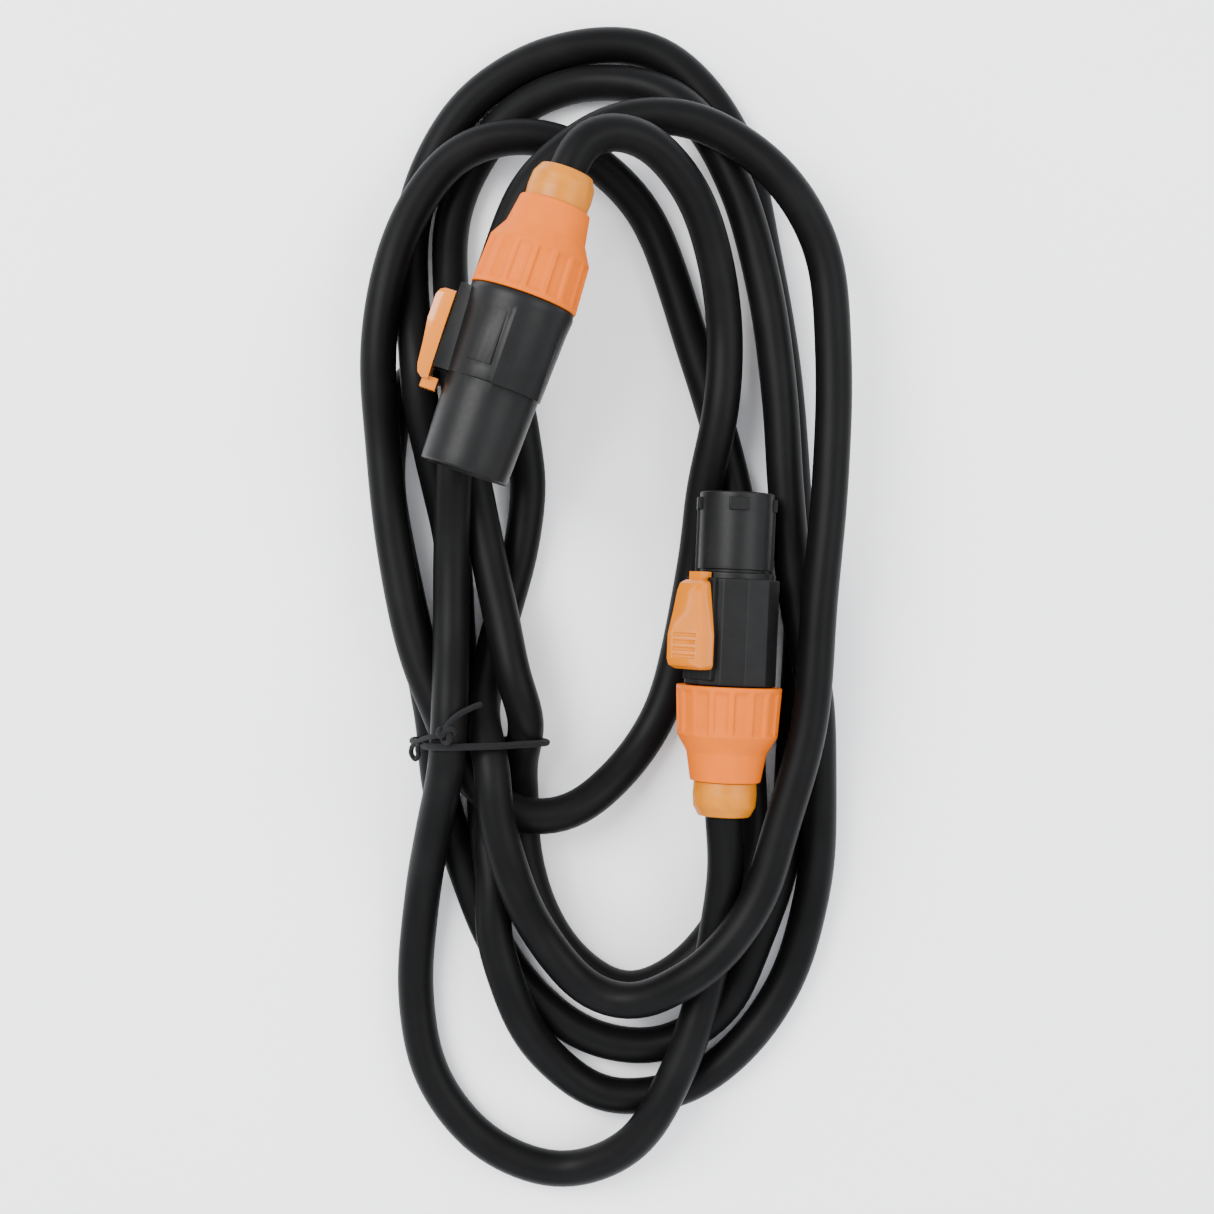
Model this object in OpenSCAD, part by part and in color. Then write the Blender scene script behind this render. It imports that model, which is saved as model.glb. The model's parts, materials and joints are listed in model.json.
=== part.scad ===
// Power extension cord: a black three-core cord wound into a long oval hank,
// with a locking cable socket on one end and a locking cable plug on the other.
// The hank lies on a flat surface at z = 0. Each connector is drawn in its own
// frame: z = 0 is the front face of its locking nut, +z runs along the cord and
// -z runs to the mating face. Local -y faces up once the connector is placed.

/* [Cord] */
// Outer diameter of the cord's jacket
cord_d = 10; // [8:0.5:10]
// Diameter of each insulated core inside the jacket
core_d = 3; // [2.5:0.1:3.2]

/* [Connectors] */
// Outer diameter of the locking nut at its wide end
nut_d = 28.6; // [27.6:0.1:30]
// Number of grip flutes round the locking nut
nut_flutes = 16; // [8:1:20]
// Largest diameter of the rubber boot behind the nut
boot_d = 17.2; // [17:0.1:18]
// Length of the socket in front of its nut
socket_l = 47.2; // [45:0.1:50]
// Outer diameter of the socket's sleeve at its mouth
sleeve_d = 23.4; // [23:0.1:25]
// Inner diameter of the socket's mouth
mouth_d = 21; // [20.8:0.1:21]
// Length of the plug in front of its nut
plug_l = 51.7; // [50:0.1:55]
// Outer diameter of the plug's nose
nose_d = 20; // [19:0.1:20]
// Width of the release latch at its wide end
latch_w = 12.6; // [11:0.1:13]
// How far the release latch slides back
latch_travel = 3.5; // [3:0.1:3.6]

/* [Tie] */
// Width of the elastic tie band
tie_w = 2; // [1.5:0.5:3]

/* [Hidden] */
ENDS = ["socket", "plug"];
PIECES = [
    "housing", "contact_core", "terminal_block", "line_contact", "neutral_contact",
    "earth_contact", "terminal_screws", "line_core", "neutral_core", "earth_core",
    "seal", "cable_clamp", "locking_nut", "boot", "latch", "latch_spring"
];

cord_r = cord_d / 2;
fit = 0.05;              // radial clearance of a running fit
slide_gap = 0.3;         // clearance round the latch and its rail
round_fn = 96;
small_fn = 32;

// Where each connector's mating tip lies, and how it is turned about the vertical
socket_tip = [-37, 35, 44];
socket_yaw = -19;
plug_tip = [35, 30.5, 25];
plug_yaw = 177.5;
function is_socket(e) = e == "socket";
function tip(e) = is_socket(e) ? socket_tip : plug_tip;
function yaw(e) = is_socket(e) ? socket_yaw : plug_yaw;
function front_l(e) = is_socket(e) ? socket_l : plug_l;
function along(e) = [-sin(yaw(e)), cos(yaw(e)), 0];
function axis_point(e, z) = tip(e) + along(e) * (front_l(e) + z);

// Stations along a connector, from the nut's front face towards the cord
tail_end = 12;           // rear end of the housing's threaded tail
tail_r = 11.5;
tail_bore_r = 9.2;
flute_end = 13.1;
flare_end = 17.8;
nut_end = 25.5;
gland_end = 34.8;
jacket_cut = 3;          // the jacket is stripped back to here
seal_z = 5;
clamp_z = 8;
clamp_step_z = 11.8;
clamp_end = 14.5;
neck_r = 7.9;            // boot neck that turns inside the nut
terminal_z = -12;        // the three terminal screws
block_end = -8;          // rear face of the terminal block
contact_end = -6.3;
contact_ring_r = 4.2;    // the contacts stand on this radius
core_ring_r = 2.3;       // the cores lie on this radius inside the jacket
contact_r = 2;
pin_r = 1.2;
contact_angles = [90, 210, 330];

// Where the contact core meets the terminal block
function shoulder(e) = is_socket(e) ? -24 : -26;

// Latch: its inner face, rail depth and angle round the housing
function latch_base(e) = is_socket(e) ? 16.3 : 12.9;
function rail_depth(e) = is_socket(e) ? 3 : 2.6;
function latch_angle(e) = is_socket(e) ? 180 : -42;
latch_rear = -0.8 - latch_travel;    // slid back, it stops just short of the nut
latch_l = 23.6;
latch_h = 4.7;
tongue_l = 2.2;
tongue_w = 4.5;
rail_w = 5.4;
block_w = 10.4;
foot_rear = -14;
foot_front = -22;
spring_r = 1.1;
wire_w = 0.5;
spring_turns = 6;
wire_sweep = 130;        // angle that one flat section of the wire covers

// Route of the cord's centre line, from the socket's boot to the plug's boot
ROUTE = [
    // over the top of the hank, down through its middle and round its left side
    [-7, 119, 43], [-1, 123, 41], [10, 122, 37], [22, 111, 29], [29, 94, 21], [32, 74, 16],
    [31, 54, 16], [27, 33, 12], [24, 10, 7], [16, -26, 5], [9, -39, 6], [0, -49, 10],
    [-11, -56, 14], [-25, -56, 15], [-37, -46, 16], [-44, -32, 17], [-52, -12, 16],
    // left side, top and right side of the third turn
    [-58, 16, 15], [-61, 43, 15], [-62, 70, 18], [-58, 94, 18], [-51, 111, 16], [-41, 123, 15],
    [-28, 128, 15], [-13, 127, 14], [0, 120, 9], [11, 108, 5], [25, 69, 5], [32, 46, 5],
    [37, 24, 5], [39, -4, 5], [39, -37, 5], [39, -68, 5], [33, -85, 5], [22, -99, 5],
    [6, -106, 5], [-8, -99, 5], [-18, -85, 5], [-23, -68, 5], [-24, -53, 5], [-24, -43, 9],
    // inner left strand, top and right side of the second turn
    [-22, -31, 17], [-25, -20, 20], [-28, -6, 18], [-33, 17, 15], [-40, 54, 14], [-41, 69, 15],
    [-43, 87, 9], [-43, 106, 5], [-38, 121, 5], [-26, 137, 5], [-9, 145, 5], [12, 143, 9],
    [24, 134, 14], [35, 115, 15], [43, 87, 15], [47, 59, 15], [49, 29, 15], [52, 1, 15],
    [57, -25, 15], [58, -47, 13], [58, -63, 11], [57, -77, 8], [50, -103, 5], [36, -123, 5],
    [19, -134, 5], [-1, -135, 5], [-14, -126, 8], [-22, -115, 13], [-27, -103, 15],
    // middle left strand, outer top and right side of the first turn
    [-31, -88, 15], [-31, -75, 14], [-33, -64, 10], [-34, -51, 5], [-35, -39, 7], [-39, -27, 5],
    [-41, -13, 5], [-43, 16, 5], [-47, 36, 9], [-51, 57, 15], [-52, 70, 15], [-54, 87, 9],
    [-54, 106, 5], [-49, 123, 5], [-38, 140, 5], [-22, 151, 5], [-3, 156, 5], [13, 154, 5],
    [26, 144, 5], [37, 126, 5], [44, 96, 5], [49, 66, 5], [52, 30, 5], [54, -4, 5],
    [52, -37, 5], [50, -63, 5], [46, -78, 5], [41, -93, 5], [32, -111, 5], [16, -121, 5],
    [-2, -120, 5], [-17, -111, 5], [-30, -95, 5], [-40, -71, 5], [-46, -52, 6], [-49, -26, 6],
    // the fold where the doubled cord turns back
    [-54, -4, 5], [-61, 34, 5], [-60, 49, 5], [-58, 58, 5], [-51, 65, 5], [-42, 67, 5],
    [-33, 65, 5], [-26, 58, 5], [-24, 49, 5], [-22, 35, 5], [-24, 16, 5], [-29, -3, 6],
    // up through the tie and round the inner bottom and the right side
    [-33, -20, 12], [-34, -31, 18], [-31, -42, 25], [-30, -54, 26], [-25, -73, 24],
    [-18, -89, 17], [-5, -104, 15], [7, -107, 17], [20, -101, 23], [29, -94, 25],
    [40, -79, 25], [47, -58, 25], [54, -32, 25], [57, 2, 25], [60, 34, 24], [61, 67, 22],
    // round the top under the socket's cord, and down the left over the tie
    [58, 95, 23], [49, 112, 25], [36, 124, 25], [20, 131, 25], [3, 130, 25], [-10, 123, 25],
    [-21, 112, 25], [-28, 96, 25], [-34, 77, 25], [-39, 55, 25], [-41, 37, 24],
    [-42, 13, 20], [-42, -9, 22], [-42, -25, 27], [-43, -42, 27], [-47, -60, 18],
    // outer bottom, then up to the plug
    [-51, -80, 8], [-53, -108, 5], [-48, -131, 5], [-33, -149, 5], [-12, -156, 5],
    [6, -148, 11], [16, -133, 15], [23, -117, 15], [28, -99, 14], [31, -82, 17], [32, -68, 22]
];
CORD_PATH = concat(
    [for (z = [jacket_cut, (jacket_cut + gland_end) / 2, gland_end]) axis_point("socket", z)],
    ROUTE,
    [for (z = [gland_end, (jacket_cut + gland_end) / 2, jacket_cut]) axis_point("plug", z)]
);

// Tie: the strands that it holds, as x and z in the plane y = tie_y
tie_y = -37;
TIE_STRANDS = [[-47.7, 6], [-35.4, 7], [-23, 13], [-32.4, 21.8], [-42.7, 27]];
tie_slack = 0.4;
knot_at = [-43, -33, 34.5];
knot_r = 3.4;

// ---- sweeping a round tube along a path ----

function unit(v) = v / norm(v);
function last(path) = len(path) - 1;
function heading(path, i) = unit(path[min(i + 1, last(path))] - path[max(i - 1, 0)]);
function ring(path, i, r, sides) =
    let (t = heading(path, i), s = unit(cross(t, [0, 0, 1])), u = cross(s, t))
    [for (k = [0 : sides - 1])
        path[i] + r * (sin(360 * k / sides) * s + cos(360 * k / sides) * u)];

module tube(path, r, sides) {
    rings = len(path);
    points = [for (i = [0 : rings - 1]) each ring(path, i, r, sides)];
    first_cap = [for (k = [0 : sides - 1]) k];
    last_cap = [for (k = [sides - 1 : -1 : 0]) (rings - 1) * sides + k];
    walls = [for (i = [0 : rings - 2]) for (k = [0 : sides - 1])
        let (a = i * sides + k, b = i * sides + (k + 1) % sides)
        each [[a, a + sides, b + sides], [a, b + sides, b]]];
    polyhedron(points = points, faces = concat([first_cap, last_cap], walls));
}

// ---- placing things on a connector ----

module place(e) {
    translate(axis_point(e, 0))
        rotate([0, 0, yaw(e)])
            rotate([-90, 0, 0])
                children();
}

module on_contacts() {
    for (a = contact_angles)
        rotate([0, 0, a])
            children();
}

module pipe(r_out, r_in, z0, z1, fn = round_fn) {
    translate([0, 0, z0])
        difference() {
            cylinder(r = r_out, h = z1 - z0, $fn = fn);
            translate([0, 0, -1])
                cylinder(r = r_in, h = z1 - z0 + 2, $fn = fn);
        }
}

// ---- housings ----

// Block beside the housing that carries the latch, before its channel is cut
module latch_block(e) {
    front = is_socket(e) ? -24.2 : -28.7;
    inner = tail_r - 1;
    rotate([0, 0, latch_angle(e)])
        translate([inner, -block_w / 2, front])
            cube([latch_base(e) - slide_gap - inner, block_w, -1.6 - front]);
}

// Channel for the latch's foot and spring, open at the front
module latch_channel(e) {
    floor_r = latch_base(e) - rail_depth(e);
    rotate([0, 0, latch_angle(e)])
        translate([floor_r, -rail_w / 2, -35])
            cube([rail_depth(e) + 1, rail_w, 30]);
}

// A shallow raised panel round part of the housing
module panel(r, z0, z1, start, sweep) {
    rotate([0, 0, start])
        rotate_extrude(angle = sweep, $fn = round_fn)
            translate([tail_r - 1, z0])
                square([r - tail_r + 1, z1 - z0]);
}

module socket_shell() {
    r = sleeve_d / 2;
    rotate_extrude($fn = round_fn)
        polygon([
            [mouth_d / 2, -socket_l], [r - 0.3, -socket_l], [r, -socket_l + 0.4],
            [12.4, -24.3], [12.9, -24.1], [13.7, -6], [14.1, -1.6], [13.8, -0.3],
            [tail_r, -0.3], [tail_r, tail_end - 0.6], [tail_r - 0.6, tail_end],
            [tail_bore_r, tail_end], [tail_bore_r, -20], [10.2, -20],
            [10.2, -socket_l + 7], [mouth_d / 2, -socket_l + 7]
        ]);
}

module socket_housing() {
    color("#1d1d1f")
    difference() {
        union() {
            socket_shell();
            latch_block("socket");
            panel(13.9, -24.4, -3, -88, 64);
            panel(13.7, -20, -6, -126, 30);
        }
        latch_channel("socket");
        // keyways for the plug's bayonet lugs
        for (a = [0, -90, 180])
            rotate([0, 0, a])
                translate([9.5, -3, -socket_l - 1])
                    cube([1.6, 6, 8]);
    }
}

module plug_shell() {
    r = nose_d / 2;
    rotate_extrude($fn = round_fn)
        polygon([
            [8.4, -plug_l], [r - 0.4, -plug_l], [r, -plug_l + 0.5], [r, -31.2],
            [r - 0.5, -31], [r - 0.5, -30.4], [r + 0.6, -30.2], [r + 0.6, -28.7],
            [tail_r, -28.7], [tail_r, tail_end - 0.6], [tail_r - 0.6, tail_end],
            [tail_bore_r, tail_end], [tail_bore_r, -26], [8.4, -26]
        ]);
}

module plug_housing() {
    color("#1d1d1f")
    difference() {
        union() {
            plug_shell();
            // flat-sided grip in front of the nut
            translate([0, 0, -28.7])
                difference() {
                    rotate([0, 0, 15])
                        cylinder(r = 12.5, h = 28.4, $fn = 12);
                    translate([0, 0, -1])
                        cylinder(r = tail_r - 1, h = 31, $fn = round_fn);
                }
            latch_block("plug");
            // bayonet lugs at the tip and the guide ribs behind two of them
            for (a = [0, -90, 180])
                rotate([0, 0, a])
                    translate([nose_d / 2 - 0.6, -2.7, -plug_l + 1.5])
                        cube([1.3, 5.4, 3.4]);
            for (a = [0, 180])
                rotate([0, 0, a])
                    translate([nose_d / 2 - 0.6, -0.7, -plug_l + 4])
                        cube([1.1, 1.4, 18]);
        }
        latch_channel("plug");
    }
}

// ---- contact carriers and contacts ----

// Holes for the contacts and their screws
module contact_holes(front) {
    on_contacts() {
        translate([contact_ring_r, 0, front - 1])
            cylinder(r = contact_r + fit, h = block_end - front + 2, $fn = small_fn);
        translate([contact_ring_r, 0, terminal_z])
            rotate([0, 90, 0])
                cylinder(r = 1.35, h = 6, $fn = small_fn);
    }
}

// Front part of the carrier, which the contacts stand in
module contact_core(e) {
    front = is_socket(e) ? -39.5 : -34;
    color("#2b2b2e")
    difference() {
        translate([0, 0, front])
            cylinder(r = is_socket(e) ? 7.4 : 8.3, h = shoulder(e) - fit - front, $fn = round_fn);
        contact_holes(front);
        // key slot that admits only the matching plug
        if (is_socket(e))
            translate([-1, -8, front - 1])
                cube([2, 2.4, 9]);
    }
}

// Rear part of the carrier: the terminal block and its skirt
module terminal_block(e) {
    color("#2b2b2e")
    difference() {
        union() {
            if (is_socket(e))
                translate([0, 0, shoulder(e)])
                    cylinder(r = 10.1, h = 4, $fn = round_fn);
            translate([0, 0, shoulder(e)])
                cylinder(r = tail_bore_r - 0.1, h = block_end - shoulder(e), $fn = round_fn);
            pipe(tail_bore_r - 0.1, 8, block_end - 0.5, seal_z - 0.2);
        }
        contact_holes(shoulder(e));
    }
}

// Tubular receptacle in the socket
module socket_contact(which) {
    color("#c9a24a")
    rotate([0, 0, contact_angles[which]])
        translate([contact_ring_r, 0, 0])
            difference() {
                translate([0, 0, -38.5])
                    cylinder(r = contact_r, h = contact_end + 38.5, $fn = small_fn);
                translate([0, 0, -39.5])
                    cylinder(r = pin_r + fit, h = 15, $fn = small_fn);
            }
}

// Solid pin in the plug; the earth pin stands further forward
module plug_contact(which) {
    pin_front = which == 2 ? -45.5 : -44;
    color("#c9a24a")
    rotate([0, 0, contact_angles[which]])
        translate([contact_ring_r, 0, 0]) {
            translate([0, 0, -33.5])
                cylinder(r = contact_r, h = contact_end + 33.5, $fn = small_fn);
            translate([0, 0, pin_front])
                cylinder(r = pin_r, h = -33 - pin_front, $fn = small_fn);
        }
}

module terminal_screws() {
    color("#b9bcc2")
    on_contacts()
        translate([contact_ring_r + contact_r, 0, terminal_z])
            rotate([0, 90, 0])
                difference() {
                    cylinder(r = 1.25, h = 2.6, $fn = small_fn);
                    translate([-2, -0.2, 2])
                        cube([4, 0.4, 1]);
                }
}

// One insulated core, spreading from the jacket's end to its contact
module core(which, tint) {
    run = jacket_cut - contact_end;
    spread = contact_ring_r - core_ring_r;
    lean = atan(spread / run);
    color(tint)
    rotate([0, 0, contact_angles[which]])
        translate([contact_ring_r, 0, contact_end])
            rotate([0, -lean, 0])
                translate([0, 0, 0.4])
                    cylinder(d = core_d, h = norm([run, spread]) - 0.8, $fn = small_fn);
}

// ---- gland: seal, clamp, nut and boot ----

module seal() {
    r0 = cord_r + fit;
    r1 = tail_bore_r - 0.1;
    color("#3a3a3c")
    rotate_extrude($fn = round_fn)
        polygon([
            [r0, seal_z], [r1 - 0.5, seal_z], [r1, seal_z + 0.5], [r1, clamp_z - 0.6],
            [r1 - 0.5, clamp_z - 0.1], [r0, clamp_z - 0.1]
        ]);
}

module cable_clamp() {
    slot_w = 1.2;
    color("#e8e4da")
    difference() {
        union() {
            pipe(tail_bore_r - 0.1, cord_r + fit, clamp_z, clamp_step_z);
            pipe(7.6, cord_r + fit, clamp_z, clamp_end);
        }
        // slots that let the clamp's fingers close on the jacket
        for (a = [0, 90])
            rotate([0, 0, a])
                translate([-10, -slot_w / 2, clamp_z + 1.8])
                    cube([20, slot_w, 10]);
    }
}

module locking_nut() {
    r = nut_d / 2;
    flute_r = 2.4;
    flute_depth = 1;
    color("#f2904a")
    difference() {
        rotate_extrude($fn = round_fn)
            polygon([
                [tail_r + fit, 0], [r - 0.4, 0], [r, 0.9], [r - 0.8, flute_end],
                [10.75, flare_end], [9.5, nut_end - 0.4], [9.2, nut_end],
                [neck_r + 0.1, nut_end], [neck_r + 0.1, 16.4], [9.6, 16.4],
                [tail_r + fit, 12.8]
            ]);
        for (k = [0 : nut_flutes - 1])
            rotate([0, 0, k * 360 / nut_flutes])
                translate([r + flute_r - flute_depth, 0, 1.4])
                    cylinder(r = flute_r, h = flute_end - 2.2, $fn = small_fn);
    }
}

module boot() {
    r = boot_d / 2;
    bore_r = cord_r + 0.35;
    color("#e59a1c")
    rotate_extrude($fn = round_fn)
        polygon([
            [bore_r, 14.8], [9, 14.8], [9, 16.2], [neck_r, 16.2], [neck_r, nut_end + 0.1],
            [r - 0.4, nut_end + 0.1], [r, 27], [r, 30.4], [r - 0.2, 31.8], [r - 0.7, 33.1],
            [r - 1.3, 34.1], [r - 1.9, gland_end], [cord_r + 1.4, gland_end],
            [cord_r + 0.9, 32.5], [bore_r, 28]
        ]);
}

// ---- release latch ----

// Outline of the latch seen from outside: wide and round at the rear
module latch_outline() {
    w = latch_w / 2;
    front_w = 4.3;
    corner = 1.6;
    offset(r = corner, $fn = 48)
        polygon([
            [-w + corner, latch_rear - corner], [w - corner, latch_rear - corner],
            [w - corner, latch_rear - 9], [front_w - corner, latch_rear - latch_l + corner],
            [-front_w + corner, latch_rear - latch_l + corner], [-w + corner, latch_rear - 9]
        ]);
}

// Side view: height above the latch's inner face against z
module latch_side() {
    front = latch_rear - latch_l;
    polygon([
        [0, latch_rear], [2.6, latch_rear], [4, latch_rear - 0.9], [latch_h, latch_rear - 2.6],
        [latch_h, latch_rear - 9], [4, latch_rear - 15], [3.6, front + 3], [3, front + 1],
        [1.8, front], [0, front]
    ]);
}

module latch(e) {
    foot_h = rail_depth(e) - slide_gap;
    tongue_front = latch_rear - latch_l - tongue_l;
    color("#f0a23a")
    rotate([0, 0, latch_angle(e)])
        translate([latch_base(e), 0, 0]) {
            difference() {
                intersection() {
                    rotate([90, 0, 0])
                        translate([0, 0, -latch_w])
                            linear_extrude(2 * latch_w)
                                latch_side();
                    rotate([90, 0, 90])
                        linear_extrude(latch_h + 1)
                            latch_outline();
                }
                // grip notches
                for (k = [0 : 3])
                    translate([latch_h + 0.25, 0, latch_rear - 3.4 - 1.9 * k])
                        rotate([90, 0, 0])
                            cylinder(r = 0.6, h = 8.4, center = true, $fn = small_fn);
            }
            translate([-foot_h, -rail_w / 2 + slide_gap, foot_front])
                cube([foot_h + 0.5, rail_w - 2 * slide_gap, foot_rear - foot_front]);
            translate([0.2 - foot_h, -tongue_w / 2, tongue_front])
                cube([foot_h + 1.4, tongue_w, tongue_l + 1]);
        }
}

// Section of the spring's flat wire, as an arc that the twist turns into a coil
module wire_section() {
    inner_r = spring_r - wire_w;
    arc = [for (a = [0 : wire_sweep / 5 : wire_sweep]) [cos(a), sin(a)]];
    polygon(concat(
        [for (p = arc) p * spring_r],
        [for (k = [5 : -1 : 0]) arc[k] * inner_r]
    ));
}

module latch_spring(e) {
    rear = -5.3;
    run = rear - foot_rear - 0.1;
    color("#c4c7cc")
    rotate([0, 0, latch_angle(e)])
        translate([latch_base(e) - rail_depth(e) / 2, 0, foot_rear + 0.1])
            linear_extrude(height = run, twist = -360 * spring_turns, slices = 12 * spring_turns)
                wire_section();
}

// ---- cord and tie ----

module cord_jacket() {
    color("#232326")
        tube(CORD_PATH, cord_r, 8);
}

// Closed outline round the strands, grown by r from their centres
module tie_outline(r) {
    hull()
        for (p = TIE_STRANDS)
            translate(p)
                circle(r = r, $fn = small_fn);
}

module tie_band() {
    inside = cord_r + tie_slack;
    color("#111113")
    translate([0, tie_y + tie_w / 2, 0])
        rotate([90, 0, 0])
            linear_extrude(tie_w)
                difference() {
                    tie_outline(inside + 0.6);
                    tie_outline(inside);
                }
}

module tie_knot() {
    color("#111113")
    translate(knot_at) {
        sphere(r = knot_r, $fn = small_fn);
        // free tail and loop end of the elastic
        rotate([0, 90, 40])
            cylinder(r = 1, h = 13, $fn = small_fn);
        rotate([0, 90, 215])
            cylinder(r = 1, h = 7, $fn = small_fn);
    }
}

cord_jacket();
tie_band();
tie_knot();
place("socket") socket_housing();
place("plug") plug_housing();
place("socket") socket_contact(0);  // socket_line_contact
place("socket") socket_contact(1);  // socket_neutral_contact
place("socket") socket_contact(2);  // socket_earth_contact
place("plug") plug_contact(0);  // plug_line_contact
place("plug") plug_contact(1);  // plug_neutral_contact
place("plug") plug_contact(2);  // plug_earth_contact
for (e = ENDS) {
    place(e) contact_core(e);
    place(e) terminal_block(e);
    place(e) terminal_screws();
    place(e) core(0, "#6b3f22");
    place(e) core(1, "#2d63b8");
    place(e) core(2, "#7fae2e");
    place(e) seal();
    place(e) cable_clamp();
    place(e) locking_nut();
    place(e) boot();
    place(e) latch(e);
    place(e) latch_spring(e);
}
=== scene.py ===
"""Looks of the power cord: a black cord in a long tied hank, with a locking socket and plug."""
import json
import math

import bmesh
import bpy
import numpy as np
from mathutils import Matrix, Vector


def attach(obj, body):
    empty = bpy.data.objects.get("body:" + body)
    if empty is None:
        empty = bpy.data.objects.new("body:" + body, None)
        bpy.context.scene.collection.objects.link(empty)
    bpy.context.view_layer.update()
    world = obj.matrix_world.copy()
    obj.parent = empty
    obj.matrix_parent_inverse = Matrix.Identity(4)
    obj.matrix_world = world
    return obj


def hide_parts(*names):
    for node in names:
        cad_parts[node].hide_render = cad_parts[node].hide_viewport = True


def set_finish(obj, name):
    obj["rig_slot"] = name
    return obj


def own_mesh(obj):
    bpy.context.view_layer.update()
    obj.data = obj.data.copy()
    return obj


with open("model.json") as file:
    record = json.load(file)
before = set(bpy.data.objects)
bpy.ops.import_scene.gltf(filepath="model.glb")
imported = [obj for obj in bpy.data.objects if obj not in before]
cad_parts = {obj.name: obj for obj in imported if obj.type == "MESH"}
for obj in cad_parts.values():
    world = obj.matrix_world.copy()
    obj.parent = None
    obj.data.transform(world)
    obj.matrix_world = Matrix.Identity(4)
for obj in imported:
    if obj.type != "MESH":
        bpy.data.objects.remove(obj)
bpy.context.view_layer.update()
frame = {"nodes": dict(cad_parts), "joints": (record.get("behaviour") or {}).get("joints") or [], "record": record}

MM = 0.001
ENDS = ("socket", "plug")

# ---------------------------------------------------------------- frame values

JOINTS = {j["name"]: j for j in frame["joints"]}


def connector_matrix(end):
    """Seat of the locking nut: local +z along the cord, local -y up."""
    turn = JOINTS[end + "_nut_turn"]
    z = Vector(turn["axis"]).normalized()
    y = Vector((0, 0, -1))
    x = y.cross(z)
    turned = Matrix((x, y, z)).transposed().to_4x4()
    return Matrix.Translation(Vector(turn["pos_m"])) @ turned


PLACE = {end: connector_matrix(end) for end in ENDS}

# Stations along a connector, in mm from its nut's front face
JACKET_CUT = 3
TAIL_END = 12
FLUTE_END = 13.1
FLARE_END = 17.8
NUT_END = 25.5
GLAND_END = 34.8

# Radii in mm
CORD_R = 5.0
NECK_R = 7.9
BOOT_R = 8.6
TAIL_R = 11.5
NUT_R = 14.3

# ---------------------------------------------------------------- camera first

CAMERA_HEIGHT = 0.561
LENS = 59.31                 # mm
SENSOR_WIDTH = 36            # mm

camera_data = bpy.data.cameras.new("camera")
camera_data.lens = LENS
camera_data.sensor_width = SENSOR_WIDTH
camera = bpy.data.objects.new("camera", camera_data)
camera.location = (0, 0, CAMERA_HEIGHT)
bpy.context.scene.collection.objects.link(camera)
bpy.context.scene.camera = camera

# ---------------------------------------------------------------- mesh helpers


def make_object(name, vertices, faces, smooth=True):
    mesh = bpy.data.meshes.new(name)
    mesh.from_pydata([tuple(v) for v in vertices], [], faces)
    mesh.validate()
    for polygon in mesh.polygons:
        polygon.use_smooth = smooth
    piece = bpy.data.objects.new(name, mesh)
    bpy.context.scene.collection.objects.link(piece)
    return piece


def fillet(corners, steps=5):
    """A closed outline of (r, z, radius) corners with each corner rounded to its radius."""
    outline = []
    count = len(corners)
    for i, (r, z, radius) in enumerate(corners):
        here = Vector((r, z))
        before = Vector(corners[i - 1][:2]) - here
        after = Vector(corners[(i + 1) % count][:2]) - here
        if radius <= 0:
            outline.append((r, z))
            continue
        half = before.angle(after) / 2
        reach = min(radius / math.tan(half), 0.48 * before.length, 0.48 * after.length)
        start = here + before.normalized() * reach
        end = here + after.normalized() * reach
        for k in range(steps + 1):
            t = k / steps
            outline.append(tuple(start * (1 - t) ** 2 + here * 2 * t * (1 - t) + end * t * t))
    return outline


def refine(outline, longest):
    """Splits an outline's long sides, so that surface relief has points to move."""
    fine = []
    for a, b in zip(outline, outline[1:] + outline[:1]):
        length = math.dist(a, b)
        parts = max(1, math.ceil(length / longest))
        fine += [(a[0] + (b[0] - a[0]) * k / parts, a[1] + (b[1] - a[1]) * k / parts)
                 for k in range(parts)]
    return fine


def revolve(name, outline, segments, relief=None):
    """Turns a closed (r, z) outline in mm about local z; relief(r, z, angle) moves r."""
    vertices = []
    for s in range(segments):
        angle = 2 * math.pi * s / segments
        for r, z in outline:
            moved = r + (relief(r, z, angle) if relief else 0)
            vertices.append((moved * math.cos(angle) * MM, moved * math.sin(angle) * MM, z * MM))
    count = len(outline)
    faces = []
    for s in range(segments):
        t = (s + 1) % segments
        for k in range(count):
            m = (k + 1) % count
            faces.append((s * count + k, t * count + k, t * count + m, s * count + m))
    return make_object(name, vertices, faces)


def fix_normals(piece):
    sheet = bmesh.new()
    sheet.from_mesh(piece.data)
    bmesh.ops.recalc_face_normals(sheet, faces=sheet.faces)
    sheet.to_mesh(piece.data)
    sheet.free()


def put(piece, matrix):
    """Moves a new piece from a connector's own axes to its place."""
    piece.data.transform(matrix)
    fix_normals(piece)


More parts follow.
